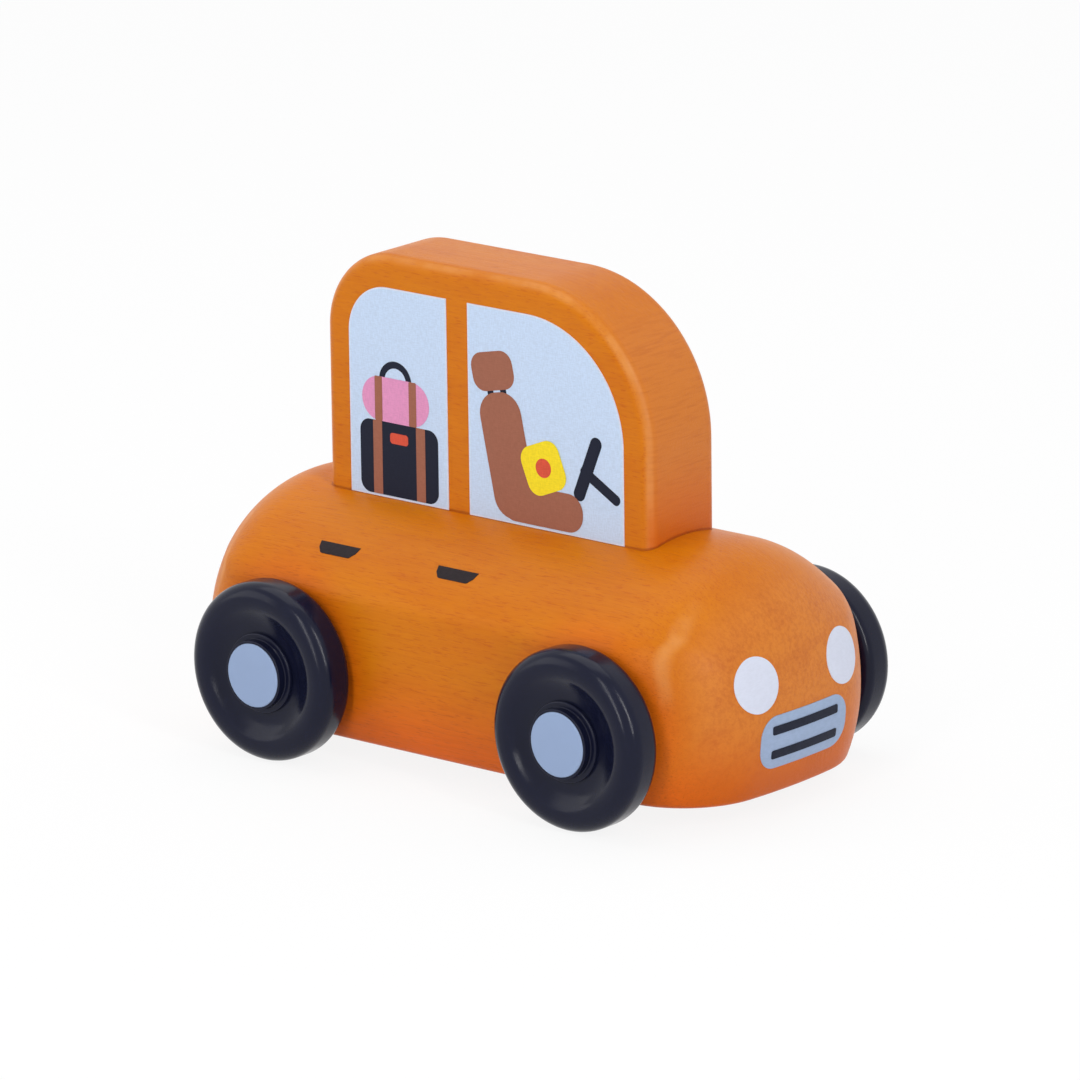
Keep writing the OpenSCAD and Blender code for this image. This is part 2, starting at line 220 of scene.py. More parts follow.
class PrintSettings(PropertyGroup):
    """Inks of the body prints and the windows"""

    window: colour_property("Window", "Pale blue of the windows", "C4D7F0")
    white: colour_property("White", "White of the headlights and of the underprint", "D6DBEB")
    blue: colour_property("Blue", "Blue-grey of the grille", "9DB0CE")
    navy: colour_property("Navy", "Dark blue of the grille bars, suitcase and steering wheel", "1E2232")
    handle: colour_property("Handle", "Brown-black of the door handles", "2A2326")
    brown: colour_property("Brown", "Brown of the seat and the straps", "9C6450")
    pink: colour_property("Pink", "Pink of the soft bag", "DE94BE")
    yellow: colour_property("Yellow", "Yellow of the cushion", "F3DB2A")
    coral: colour_property("Coral", "Coral of the cushion's button and the lock", "D5553F")
    layer: length_property("Layer", "Thickness of one layer of ink", 0.000015)


class StageSettings(PropertyGroup):
    """Camera, floor and light"""

    azimuth: angle_property("Azimuth", "Camera's turn round the car", 39.88)
    elevation: angle_property("Elevation", "Camera's height angle", 15.477)
    roll: angle_property("Roll", "Camera's roll", -0.732)
    distance: length_property("Distance", "Camera's distance from the car", 1.3569)
    lens: number_property("Lens", "Focal length in millimetres", 295.43)
    aim_right: length_property("Aim right", "How far right of the car's middle the camera aims", -0.00017)
    aim_up: length_property("Aim up", "How far above the car's middle the camera aims", 0.03208)
    floor: colour_property("Floor", "Colour of the floor", "F4F4F5")
    top: number_property("Top light", "Power of the overhead softbox in watts", 3.4)
    left: number_property("Left light", "Power of the softbox on the left in watts", 2.8)
    right: number_property("Right light", "Power of the softbox on the right in watts", 3.4)
    fill: number_property("Fill light", "Power of the softbox behind the left one in watts", 1.4)
    near_glow: share_property("Near glow", "Brightness of the room on the camera's side", 0.2)
    far_glow: share_property("Far glow", "Brightness of the backdrop behind the car", 0.88)


def feed(tree, socket, value):
    """Links an output to a socket, or sets the socket's constant value."""
    if isinstance(value, bpy.types.NodeSocket):
        tree.links.new(value, socket)
    else:
        socket.default_value = value


def add_node(tree, kind, inputs=(), **settings):
    """Adds a node to a tree, with its settings made first and its inputs fed by name or place."""
    made = tree.nodes.new(kind)
    for name, value in settings.items():
        setattr(made, name, value)
    for place, value in dict(inputs).items():
        feed(tree, made.inputs[place], value)
    return made


class Shader:
    """Builds a material's nodes with short calls; most calls return an output socket."""

    def __init__(self, name):
        self.material = bpy.data.materials.new(name)
        self.material.use_nodes = True
        self.tree = self.material.node_tree
        self.surface = self.tree.nodes["Principled BSDF"]

    def node(self, kind, inputs=(), output=0, **settings):
        return add_node(self.tree, kind, inputs, **settings).outputs[output]

    def math(self, operation, first, second=0.0):
        return self.node("ShaderNodeMath", {0: first, 1: second}, operation=operation)

    def add(self, first, second):
        return self.math("ADD", first, second)

    def multiply(self, first, second):
        return self.math("MULTIPLY", first, second)

    def absolute(self, value):
        return self.math("ABSOLUTE", value)

    def distance(self, first, second):
        """Length of the way made by two steps at a right angle."""
        return self.math("SQRT", self.add(self.multiply(first, first), self.multiply(second, second)))

    def past(self, value, middle, half):
        """How far a value lies outside a span round a middle, and zero inside it."""
        return self.math("MAXIMUM", self.add(self.absolute(self.add(value, -middle)), -half), 0.0)

    def fade(self, value, start, end, low=0.0, high=1.0):
        """Runs smoothly from low to high while the value goes from start to end."""
        inputs = {0: value, 1: start, 2: end, 3: low, 4: high}
        return self.node("ShaderNodeMapRange", inputs, interpolation_type="SMOOTHSTEP")

    def blend(self, amount, *colours):
        """Mixes two colours; the mix node has its colour sockets after those for numbers and vectors."""
        first, second = [tint if isinstance(tint, bpy.types.NodeSocket) else (*tint, 1) for tint in colours]
        return self.node("ShaderNodeMix", {0: amount, 6: first, 7: second}, output=2, data_type="RGBA")

    def place(self, scale=(1, 1, 1)):
        """Object coordinates in millimetres, scaled along each axis."""
        here = self.node("ShaderNodeTexCoord", output="Object")
        return self.node("ShaderNodeMapping", {"Vector": here, "Scale": [step / MM for step in scale]})

    def parts(self, vector):
        """X, Y and Z of a vector."""
        return add_node(self.tree, "ShaderNodeSeparateXYZ", {0: vector}).outputs

    def axes(self):
        """Object coordinates in millimetres as three numbers."""
        return self.parts(self.place())

    def facing(self, axis):
        """How far the surface faces along one axis, from 0 to 1."""
        return self.absolute(self.parts(self.node("ShaderNodeTexCoord", output="Normal"))[axis])

    def noise(self, scale, detail=2.0, roughness=0.5, distortion=0.0):
        """Noise with so many steps per millimetre along X, Y and Z, or along all of them."""
        stretch = scale if isinstance(scale, tuple) else (scale, scale, scale)
        inputs = {"Vector": self.place(stretch), "Scale": 1.0, "Detail": detail, "Roughness": roughness}
        return self.node("ShaderNodeTexNoise", {**inputs, "Distortion": distortion})

    def bump(self, height, strength, distance):
        inputs = {"Height": height, "Strength": strength, "Distance": distance}
        self.set(Normal=self.node("ShaderNodeBump", inputs))

    def set(self, **values):
        """Sets or links inputs of the surface shader; underscores stand for spaces."""
        for name, value in values.items():
            value = (*value, 1) if isinstance(value, (tuple, list)) else value
            feed(self.tree, self.surface.inputs[name.replace("_", " ")], value)


def wood_grain(shader, wood):
    """Dark share and height of a long grain along the car: clouds of dye, fibres and short open pores."""
    cloud = shader.noise((0.05, 0.12, 0.12), detail=4.0, roughness=0.6)
    fibre = shader.noise((0.11, 2.0, 2.0), detail=4.0, roughness=0.6, distortion=0.3)
    pore = shader.fade(shader.noise((0.5, 5.0, 5.0)), 0.55, 0.68)
    tone = shader.add(shader.fade(cloud, 0.3, 0.72, high=0.45), shader.fade(fibre, 0.3, 0.72, high=0.3))
    tone = shader.multiply(shader.add(tone, shader.multiply(pore, 0.6)), wood.grain)
    return tone, shader.add(fibre, shader.multiply(pore, -0.7))


def ring_lines(shader, axes):
    """Growth rings round a pith that runs along X below the car, as they show on the end grain."""
    pith_y, pith_z, spacing, sway = 10.0, -38.0, 4.6, 5.0
    reach = shader.distance(shader.add(axes[1], -pith_y), shader.add(axes[2], -pith_z))
    wander = shader.multiply(shader.noise((0.02, 0.1, 0.1), detail=3.0, roughness=0.6), sway)
    wave = shader.math("SINE", shader.add(shader.multiply(reach, 2 * math.pi / spacing), wander))
    return shader.fade(wave, 0.3, 1.0)


def finish_wood(shader, wood, tint, height):
    """Varnishes the wood, whose grain can be felt a little."""
    shader.set(Base_Color=tint, Roughness=wood.roughness, IOR=1.25)
    shader.bump(height, strength=0.22, distance=0.0003)
    return shader.material


def highlighted(shader, share, span):
    """Painted highlight share on a corner or edge: none outside the span's outer values, most between its
    inner ones.
    """
    patch = shader.noise(0.16, detail=3.0, roughness=0.6)
    band = shader.multiply(shader.fade(share, span[0], span[1]), shader.fade(share, span[3], span[2]))
    return shader.multiply(band, shader.fade(patch, 0.3, 0.7, low=0.1, high=0.42))


def deck_height(shader, axes):
    """Height of the crowned deck above the ground at the surface's place across the car."""
    crown = crown_of(SHOULDER_RADIUS, EDGE_DEPTH)
    return shader.add(DECK_Z, shader.multiply(shader.multiply(axes[1], axes[1]), -0.5 / crown))


def end_grain(shader, axes, wood):
    """Colour of the nose and tail: growth rings, specks and blotches."""
    speck = shader.noise((0.7, 1.4, 1.4), detail=4.0, roughness=0.7)
    blotch = shader.noise((0.1, 0.16, 0.16), detail=3.0, roughness=0.6)
    rings = shader.multiply(ring_lines(shader, axes), 0.15)
    tone = shader.add(rings, shader.fade(speck, 0.36, 0.7, high=0.8))
    tone = shader.add(tone, shader.fade(blotch, 0.35, 0.65, low=-0.15, high=0.25))
    return shader.blend(shader.multiply(tone, wood.grain), wood.end_dye, wood.dark_end_dye)


def painted_shade_share(shader, axes):
    """Share of the painted shade: a redder tone low on the body and beside the wheels, standing in for shade.
    """
    low_rise, corner_width, flank_width = 16, 13, 5
    wheel_shade_start, wheel_shade_full = WHEEL_RADIUS + 5, WHEEL_RADIUS - 3
    # Painted shade, growing towards the foot of the body
    low = shader.fade(axes[2], FOOT_Z + low_rise, FOOT_Z, high=0.95)
    beside = shader.fade(shader.absolute(axes[1]), HALF_WIDTH - corner_width, HALF_WIDTH - flank_width)
    for axle_x in AXLES:
        reach = shader.distance(shader.add(axes[0], -axle_x), shader.add(axes[2], -WHEEL_RADIUS))
        # Painted shadow of each wheel on the flank beside it
        wheel_shade = shader.fade(reach, wheel_shade_start, wheel_shade_full, high=0.8)
        low = shader.math("MAXIMUM", low, shader.multiply(wheel_shade, beside))
    return low


def corner_gleam(shader, axes):
    """Share of painted highlight on the upper corners, where the nose and tail turn into the flanks."""
    gleam_start, gleam_full = BELT_Z + 3, BELT_Z + 9
    # Painted highlight streak where the corner faces halfway between nose and flank
    gleam = highlighted(shader, shader.facing(0), (0.41, 0.49, 0.51, 0.6))
    gleam = shader.multiply(gleam, shader.fade(shader.facing(1), 0.35, 0.5))
    return shader.multiply(gleam, shader.fade(axes[2], gleam_start, gleam_full))


def deck_seam(shader, axes):
    """Share of the glue line on the deck, close round the foot of the cabin."""
    middle, half_length = (CABIN_FRONT + CABIN_REAR) / 2, (CABIN_FRONT - CABIN_REAR) / 2
    past_x = shader.past(axes[0], middle, half_length - CABIN_EDGE)
    past_y = shader.past(axes[1], 0.0, CABIN_SIDE - CABIN_EDGE)
    gap = shader.add(shader.distance(past_x, past_y), -CABIN_EDGE)
    gap = shader.add(gap, shader.multiply(shader.noise(0.9), -0.25))
    on_deck = shader.fade(axes[2], DECK_Z - 4, DECK_Z - 3)
    return shader.multiply(shader.fade(gap, 0.22, -0.05), on_deck)


def body_wood(wood):
    """Wood of the body: long grain on the flanks, end grain on nose and tail, a glue line on the deck."""
    shader = Shader("dyed_body_wood")
    axes = shader.axes()
    tone, height = wood_grain(shader, wood)
    end_share = shader.fade(shader.facing(0), 0.45, 0.85)
    tint = shader.blend(tone, wood.dye, wood.dark_dye)
    tint = shader.blend(end_share, tint, end_grain(shader, axes, wood))
    # Painted shade: a redder tone low on the body and beside the wheels
    shade_mix = shader.blend(end_share, wood.shade_tint, wood.end_shade_tint)
    tint = shader.blend(painted_shade_share(shader, axes), tint, shader.blend(tone, shade_mix, wood.dark_dye))
    # Painted highlight streaks on the upper corners of nose and tail
    tint = shader.blend(corner_gleam(shader, axes), tint, wood.gleam_dye)
    tint = shader.blend(shader.multiply(deck_seam(shader, axes), 0.42), tint, wood.seam_dye)
    return finish_wood(shader, wood, tint, height)


def cabin_wood(wood):
    """Wood of the cabin board, with its grain along the car and a glue line at its foot."""
    shader = Shader("dyed_cabin_wood")
    low_rise = 14.0
    axes = shader.axes()
    tone, height = wood_grain(shader, wood)
    end_share = shader.fade(shader.facing(0), 0.4, 0.8)
    speck = shader.noise((0.3, 0.2, 2.6), detail=3.0, roughness=0.6)
    end_tone = shader.fade(speck, 0.42, 0.74, low=0.2, high=0.55)
    end_tint = shader.blend(end_tone, wood.end_dye, wood.dark_end_dye)
    tint = shader.blend(end_share, shader.blend(tone, wood.dye, wood.dark_dye), end_tint)
    # Painted highlight along the cabin's rounded edges
    tint = shader.blend(highlighted(shader, shader.facing(1), (0.3, 0.6, 0.75, 0.97)), tint, wood.gleam_dye)
    above = shader.add(axes[2], shader.multiply(deck_height(shader, axes), -1.0))
    # Painted shade: a redder tone low on the cabin's ends, next to the deck
    low = shader.multiply(shader.fade(above, low_rise, 0.0, high=0.6), end_share)
    tint = shader.blend(low, tint, wood.end_shade_tint)
    seam = shader.fade(shader.add(above, shader.multiply(shader.noise(0.7), -0.3)), 0.3, 0.0)
    tint = shader.blend(shader.multiply(seam, 0.45), tint, wood.seam_dye)
    return finish_wood(shader, wood, tint, height)


def mottled(shader, share, tint, strength):
    """Gives the surface a colour that runs from a darker to a paler tone as the share goes from 0 to 1."""
    tones = [[min(1.0, value * (1 + step)) for value in tint] for step in (-strength, strength)]
    shader.set(Base_Color=shader.blend(share, *tones))


def moulded_plastic(name, tint, roughness, mottle):
    """Moulded plastic with a fine eroded mould texture and slight clouds in its colour."""
    shader = Shader(name)
    spread = 0.05
    mottled(shader, shader.noise(0.22, detail=3.0, roughness=0.6), tint, mottle)
    gloss = shader.noise(0.5, detail=3.0)
    shader.set(Roughness=shader.fade(gloss, 0.3, 0.7, roughness - spread, roughness + spread), IOR=1.28)
    shader.bump(shader.noise(3.0, detail=3.0, roughness=0.6), strength=0.05, distance=0.0002)
    return shader.material


def printed_ink(name, tint, cloth):
    """Ink on transfer film, with a fine woven grain from the printing screen."""
    shader = Shader(name)
    threads = shader.add(shader.noise((7.0, 1.0, 1.1), detail=1.0), shader.noise((1.1, 1.0, 7.0), detail=1.0))
    weave = shader.multiply(threads, 0.5)
    mottled(shader, shader.fade(weave, 0.35, 0.65), tint, cloth)
    shader.set(Roughness=0.46, Specular_IOR_Level=0.1)
    shader.bump(weave, strength=0.06, distance=0.0002)
    return shader.material


def drawn_steel():
    """Plain drawn steel with fine lines along the car's width."""
    shader = Shader("drawn_steel")
    line = shader.noise((6.0, 0.2, 6.0), detail=3.0)
    shader.set(Base_Color=shader.blend(line, colour("8E9094"), colour("B4B6BA")), Metallic=1.0)
    shader.set(Roughness=shader.fade(line, 0.3, 0.7, low=0.28, high=0.42))
    return shader.material


def raw_beech():
    """Undyed turned beech with short pores along its length."""
    shader = Shader("raw_beech")
    pore = shader.noise((3.0, 3.0, 0.3), detail=3.0)
    shader.set(Base_Color=shader.blend(shader.fade(pore, 0.4, 0.7), colour("CDAC7C"), colour("A8814F")))
    shader.set(Roughness=0.62)
    shader.bump(pore, strength=0.1, distance=0.0003)
    return shader.material


def crown_of(radius, depth):
    """Radius of the wide arc between two edge arcs of the given radius and depth."""
    rise = depth - radius
    reach = HALF_WIDTH - radius
    return reach * reach / (2 * rise) + radius + rise / 2


def crown_reach(radius, depth):
    """Half width of that wide arc."""
    crown = crown_of(radius, depth)
    return crown * (HALF_WIDTH - radius) / (crown - radius)


def crown_drop(y, radius, depth):
    """Depth of the rounded edge's surface below its middle."""
    if abs(y) < crown_reach(radius, depth):
        crown = crown_of(radius, depth)
        return crown - math.sqrt(crown * crown - y * y)
    past = abs(y) - HALF_WIDTH + radius
    return depth - math.sqrt(max(0.0, radius * radius - past * past))


def crown_facing(y, radius, depth):
    """Direction in which the nose or tail faces, seen from above."""
    if abs(y) < crown_reach(radius, depth):
        return math.asin(y / crown_of(radius, depth))
    past = abs(y) - HALF_WIDTH + radius
    return math.copysign(math.asin(min(1.0, past / radius)), y)


def upper_point(turn, y, end):
    """Point of the skin above the widest line on an end that points to +X."""
    lower = end.upper + (DECK_Z - BELT_Z - end.upper) / math.sin(end.turn)
    blend = math.sin(turn) ** 2
    radius = end.corner + (SHOULDER_RADIUS - end.corner) * blend
    depth = end.depth + (EDGE_DEPTH - end.depth) * blend
    low = turn < end.turn
    out = (lower if low else end.upper) - crown_drop(y, radius, depth)
    shift = 0.0 if low else lower - end.upper
    return (
        end.tip - lower + shift * math.cos(end.turn) + out * math.cos(turn),
        y,
        BELT_Z + shift * math.sin(end.turn) + out * math.sin(turn),
    )


def under_point(z, y, end, ease):
    """Point of the skin below the widest line, with the lower edge eased."""
    fall = BELT_Z - z
    inset = UNDER_RADIUS - math.sqrt(UNDER_RADIUS * UNDER_RADIUS - fall * fall)
    above = z - FOOT_Z
    if above < ease:
        inset += ease - math.sqrt(ease * ease - (ease - above) ** 2)
    way = crown_facing(y, end.corner, end.depth)
    out = end.tip - crown_drop(y, end.corner, end.depth)
    return (out - inset * math.cos(way), y - inset * math.sin(way), z)


def deck_at_cabin():
    """Height of the deck where it meets the cabin's side."""
    return DECK_Z - crown_drop(CABIN_SIDE, SHOULDER_RADIUS, EDGE_DEPTH)


def steps(start, end, count):
    """Evenly spaced values from start to end, both included."""
    return [start + (end - start) * step / count for step in range(count + 1)]


def make_mesh(name, points, faces):
    """Mesh in metres from points in millimetres."""
    mesh = bpy.data.meshes.new(name)
    mesh.from_pydata([[value * MM for value in point] for point in points], [], faces)
    mesh.validate()
    return mesh


def make_object(name, data):
    made = bpy.data.objects.new(name, data)
    bpy.context.scene.collection.objects.link(made)
    return made


def make_piece(name, mesh, material, sharp=None):
    """Object at the origin with outward faces and smooth shading."""
    tidy = bmesh.new()
    tidy.from_mesh(mesh)
    bmesh.ops.remove_doubles(tidy, verts=tidy.verts, dist=1e-7)
    bmesh.ops.recalc_face_normals(tidy, faces=tidy.faces)
    tidy.to_mesh(mesh)
    tidy.free()
    mesh.shade_smooth()
    if sharp:
        mesh.set_sharp_from_angle(angle=math.radians(sharp))
    mesh.materials.clear()
    mesh.materials.append(material)
    return make_object(name, mesh)


def dress(piece, body, node):
    """Makes a piece ride on a body and stand for a CAD node."""
    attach(piece, body)
    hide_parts(node)


def walls(rows, count):
    """Faces between rows of points that lie one after another and close on themselves."""
    faces = []
    for row in range(rows - 1):
        for place in range(count):
            low, low_next = row * count + place, row * count + (place + 1) % count
            faces.append((low, low_next, low_next + count, low + count))
    return faces


def body_skin(ease):
    """Points and faces of the whole body block."""
    columns, eased_rows, under_rows, belt_rows, edge_rows = 96, 5, 9, 9, 28
    around = 2 * (columns + 1)
    ys = [HALF_WIDTH * math.sin(math.pi / 2 * (2 * column / columns - 1)) for column in range(columns + 1)]
    eased = [FOOT_Z + ease * (1 - math.cos(angle)) for angle in steps(0, math.pi / 2, eased_rows)]
    under = eased + steps(FOOT_Z + ease, BELT_Z, under_rows)[1:-1]
    rows = [[[under_point(z, y, end, ease) for y in ys] for end in (NOSE, TAIL)] for z in under]
    turns = [
        steps(0, end.turn, belt_rows) + steps(end.turn, math.pi / 2, edge_rows)[1:] for end in (NOSE, TAIL)
    ]
    for nose_turn, tail_turn in zip(*turns):
        nose = [upper_point(nose_turn, y, NOSE) for y in ys]
        tail = [upper_point(tail_turn, y, TAIL) for y in ys]
        rows.append([nose, tail])
    points = []
    for nose, tail in rows:
        points += nose
        points += [(-x, y, z) for x, y, z in reversed(tail)]
    faces = [tuple(range(around - 1, -1, -1))] + walls(len(rows), around)
    top = (len(rows) - 1) * around
    for column in range(columns):
        faces.append((top + column, top + column + 1, top + around - 2 - column, top + around - 1 - column))
    return points, faces


def cabin_outline(inset, foot):
    """Side view of the cabin board, drawn in by an inset, from its front foot to its rear foot."""
    front = (CABIN_FRONT - CABIN_FRONT_RADIUS, CABIN_TOP - CABIN_FRONT_RADIUS)
    rear = (CABIN_REAR + CABIN_REAR_RADIUS, CABIN_TOP - CABIN_REAR_RADIUS)
    over = arc(front, CABIN_FRONT_RADIUS - inset, 0, 90, 40)
    over += arc(rear, CABIN_REAR_RADIUS - inset, 90, 180, 28)
    return [(CABIN_FRONT - inset, foot), *over, (CABIN_REAR + inset, foot)]


def cabin_skin():
    """Points and faces of the cabin board, with its edges rounded over."""
    flat_margin = 0.4
    across = [(CABIN_SIDE, CABIN_EDGE + flat_margin)]
    for angle in steps(math.pi / 2, 0, 9):
        across.append((CABIN_SIDE - CABIN_EDGE * (1 - math.sin(angle)), CABIN_EDGE * (1 - math.cos(angle))))
    across += [(-y, inset) for y, inset in reversed(across)]
    rows = [[(x, y, z) for x, z in cabin_outline(inset, CABIN_FOOT)] for y, inset in across]
    count = len(rows[0])
    points = [point for row in rows for point in row]
    ends = [tuple(range(count)), tuple(range(len(points) - 1, len(points) - count - 1, -1))]
    return points, ends + walls(len(rows), count)


def new_tree(name, **inputs):
    """Geometry nodes tree with named inputs, a material and one geometry output."""
    tree = bpy.data.node_groups.new(name, "GeometryNodeTree")
    for label, kind in {**inputs, "Material": "Material"}.items():
        tree.interface.new_socket(label, in_out="INPUT", socket_type="NodeSocket" + kind)
    tree.interface.new_socket("Geometry", in_out="OUTPUT", socket_type="NodeSocketGeometry")
    return tree


def finish_tree(tree, geometry, material):
    """Makes the geometry real, gives it its material and hands it out."""
    real = add_node(tree, "GeometryNodeRealizeInstances", {0: geometry}).outputs[0]
    painted = add_node(tree, "GeometryNodeSetMaterial", {"Geometry": real, "Material": material}).outputs[0]
    add_node(tree, "NodeGroupOutput", {"Geometry": painted})
    return tree


def turned_piece_tree(name):
    """Geometry nodes that turn a profile, drawn as radius and height, about the car's cross axis."""
    tree = new_tree(name, Profile="Geometry", Segments="Int", Centre="Vector", Heading="Float")

    def node(kind, inputs=(), output=0, **settings):
        return add_node(tree, kind, inputs, **settings).outputs[output]

    def number(operation, first, second=0.0):
        return node("ShaderNodeMath", {0: first, 1: second}, operation=operation)

    given = add_node(tree, "NodeGroupInput").outputs
    size = node("GeometryNodeAttributeDomainSize", {"Geometry": given["Profile"]}, "Point Count")
    around = number("ADD", given["Segments"], 1)
    grid = node("GeometryNodeMeshGrid", {"Vertices X": size, "Vertices Y": around}, "Mesh")
    index = node("GeometryNodeInputIndex")
    share = number("DIVIDE", number("MODULO", index, around), given["Segments"])
    angle = number("MULTIPLY", share, 2 * math.pi)
    profile_point = {
        "Geometry": given["Profile"],
        "Value": node("GeometryNodeInputPosition"),
        "Index": number("FLOOR", number("DIVIDE", index, around)),
    }
    sample = node("GeometryNodeSampleIndex", profile_point, "Value", data_type="FLOAT_VECTOR")
    radius, height, _ = add_node(tree, "ShaderNodeSeparateXYZ", {0: sample}).outputs
    turned_point = node("ShaderNodeCombineXYZ", {
        0: number("MULTIPLY", radius, number("COSINE", angle)),
        1: height,
        2: number("MULTIPLY", radius, number("SINE", angle)),
    })
    formed = node("GeometryNodeSetPosition", {"Geometry": grid, "Position": turned_point})
    closed = node("GeometryNodeMergeByDistance", {"Geometry": formed, "Distance": 1e-6})
    heading = node("ShaderNodeCombineXYZ", {2: given["Heading"]})
    move = {"Geometry": closed, "Translation": given["Centre"], "Rotation": heading}
    return finish_tree(tree, node("GeometryNodeTransform", move), given["Material"])


def print_tree(name):
    """Geometry nodes that lay a flat print on a skin and lift it off by the films below it and its own."""
    tree = new_tree(name, Print="Geometry", Skin="Object", Direction="Vector", Lift="Float")
    given = add_node(tree, "NodeGroupInput").outputs
    skin = add_node(tree, "GeometryNodeObjectInfo", {"Object": given["Skin"]}).outputs["Geometry"]
    aim = {"Target Geometry": skin, "Ray Direction": given["Direction"], "Ray Length": 1.0}
    hit = add_node(tree, "GeometryNodeRaycast", aim).outputs["Hit Position"]
    fall = {0: given["Direction"], "Scale": given["Lift"]}
    lift = add_node(tree, "ShaderNodeVectorMath", fall, operation="SCALE").outputs[0]
    raised = add_node(tree, "ShaderNodeVectorMath", {0: hit, 1: lift}, operation="SUBTRACT").outputs[0]
    laid = add_node(tree, "GeometryNodeSetPosition", {"Geometry": given["Print"], "Position": raised})
    return finish_tree(tree, laid.outputs[0], given["Material"])


def shared_tree(name, maker):
    return bpy.data.node_groups.get(name) or maker(name)


def grown_mesh(mesh, tree, values, solid=0.0):
    """Runs a mesh through a geometry nodes tree and gives back a plain mesh."""
    holder = make_object(mesh.name, mesh)
    modifier = holder.modifiers.new("Shape", "NODES")
    modifier.node_group = tree
    names = {item.name: item.identifier for item in tree.interface.items_tree if item.in_out == "INPUT"}
    for name, value in values.items():
        modifier[names[name]] = value
    if solid:
        thick = holder.modifiers.new("Film", "SOLIDIFY")
        thick.thickness = solid
        thick.offset = -1
    graph = bpy.context.evaluated_depsgraph_get()
    grown = bpy.data.meshes.new_from_object(holder.evaluated_get(graph), depsgraph=graph)
    holder.modifiers.clear()
    bpy.data.objects.remove(holder)
    return grown


def arc(centre, radius, start, end, count):
    """Points on an arc; the angles are in degrees."""
    turns = [math.radians(angle) for angle in steps(start, end, count)]
    return [(centre[0] + radius * math.cos(turn), centre[1] + radius * math.sin(turn)) for turn in turns]


def circle(centre, radius, count):
    """Points on a whole circle, each of them once."""
    return arc(centre, radius, 0, 360, count)[:-1]


def wheel_profile(fillet):
    """Half section of a wheel as a closed loop of radius and height above its inner face."""
    rim = WHEEL_RADIUS - TYRE_OUTER_EDGE
    shoulder = (rim, TYRE_FACE - TYRE_OUTER_EDGE)
    slope = 30
    bend = DISH_DEPTH / (1 - math.cos(math.radians(slope)))
    lip = (rim - LIP_INSET, TYRE_FACE - LIP_RADIUS)
    dish_radius = bend - LIP_RADIUS
    dish = (lip[0] - bend * math.sin(math.radians(slope)), TYRE_FACE - DISH_DEPTH + dish_radius)
    ring_turn = math.degrees(math.asin((dish[0] - RING_RADIUS) / dish_radius))
    ring_face = TYRE_FACE - DISH_DEPTH / 2
    inner = (WHEEL_RADIUS - TYRE_INNER_EDGE, TYRE_BACK + TYRE_INNER_EDGE)
    loop = [(AXLE_BORE, 0.0)]
    loop += arc((RING_RADIUS - fillet, fillet), fillet, -90, 0, 4)
    loop += [(RING_RADIUS, TYRE_BACK), (RECESS_INNER, TYRE_BACK), (RECESS_INNER, RECESS_FLOOR)]
    loop += [(RECESS_OUTER, RECESS_FLOOR), (RECESS_OUTER, TYRE_BACK + fillet)]
    loop += arc((RECESS_OUTER + fillet, TYRE_BACK + fillet), fillet, 180, 270, 4)
    loop += arc(inner, TYRE_INNER_EDGE, -90, 0, 10)
    loop += arc(shoulder, TYRE_OUTER_EDGE, 0, 90, 20)
    loop += arc(lip, LIP_RADIUS, 90, 90 + slope, 10)
    loop += arc(dish, dish_radius, slope - 90, -90 - ring_turn, 16)
    loop += arc((RING_RADIUS - fillet, ring_face - fillet), fillet, 0, 90, 4)
    loop += [(BOSS_RADIUS + fillet / 2, ring_face), (BOSS_RADIUS, ring_face + fillet / 2)]
    loop += arc((BOSS_RADIUS - fillet / 2, BOSS_FACE - fillet / 2), fillet / 2, 0, 90, 4)
    loop += [(CAP_SEAT_RADIUS, BOSS_FACE), (CAP_SEAT_RADIUS, CAP_BACK), (POCKET_RADIUS, CAP_BACK)]
    loop += [(POCKET_RADIUS, POCKET_FLOOR), (AXLE_BORE, POCKET_FLOOR), (AXLE_BORE, 0.0)]
    return loop


def cap_profile(fillet):
    """Half section of a hub cap: a disc with a soft edge and a slightly domed face."""
    dome = 0.06
    loop = [(0.0, CAP_BACK), (CAP_RADIUS, CAP_BACK)]
    loop += arc((CAP_RADIUS - fillet, CAP_FACE - dome - fillet), fillet, 0, 90, 6)
    loop += [(CAP_RADIUS * share, CAP_FACE - dome * share * share) for share in steps(0.9, 0.0, 9)]
    return loop


def profile_mesh(name, loop):
    mesh = bpy.data.meshes.new(name)
    edges = [(place, place + 1) for place in range(len(loop) - 1)]
    mesh.from_pydata([(radius * MM, height * MM, 0.0) for radius, height in loop], edges, [])
    return mesh


def turned(name, loop, corner, segments, material):
    """Turned piece on one axle end, facing outwards."""
    low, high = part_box(corner + "_wheel")
    side = SIDES[corner.split("_")[1]]
    values = {
        "Segments": segments,
        "Centre": ((low[0] + high[0]) / 2, side * WHEEL_SIDE * MM, (low[2] + high[2]) / 2),
        "Heading": 0.0 if side > 0 else math.pi,
        "Material": material,
    }
    mesh = grown_mesh(profile_mesh(name, loop), shared_tree("Turned piece", turned_piece_tree), values)
    return make_piece(name, mesh, material, sharp=32)


def rounded(width, height, corner, turn=0.0):
    """Rectangle with round corners about the origin, turned by an angle in degrees."""
    points = []
    for quarter, (sx, sy) in enumerate(((1, 1), (-1, 1), (-1, -1), (1, -1))):
        middle = (sx * (width / 2 - corner), sy * (height / 2 - corner))
        points += arc(middle, corner, 90 * quarter, 90 * quarter + 90, 8)
    c, s = math.cos(math.radians(turn)), math.sin(math.radians(turn))
    return [(c * x - s * y, s * x + c * y) for x, y in points]


def moved(outline, x, y):
    return [(px + x, py + y) for px, py in outline]


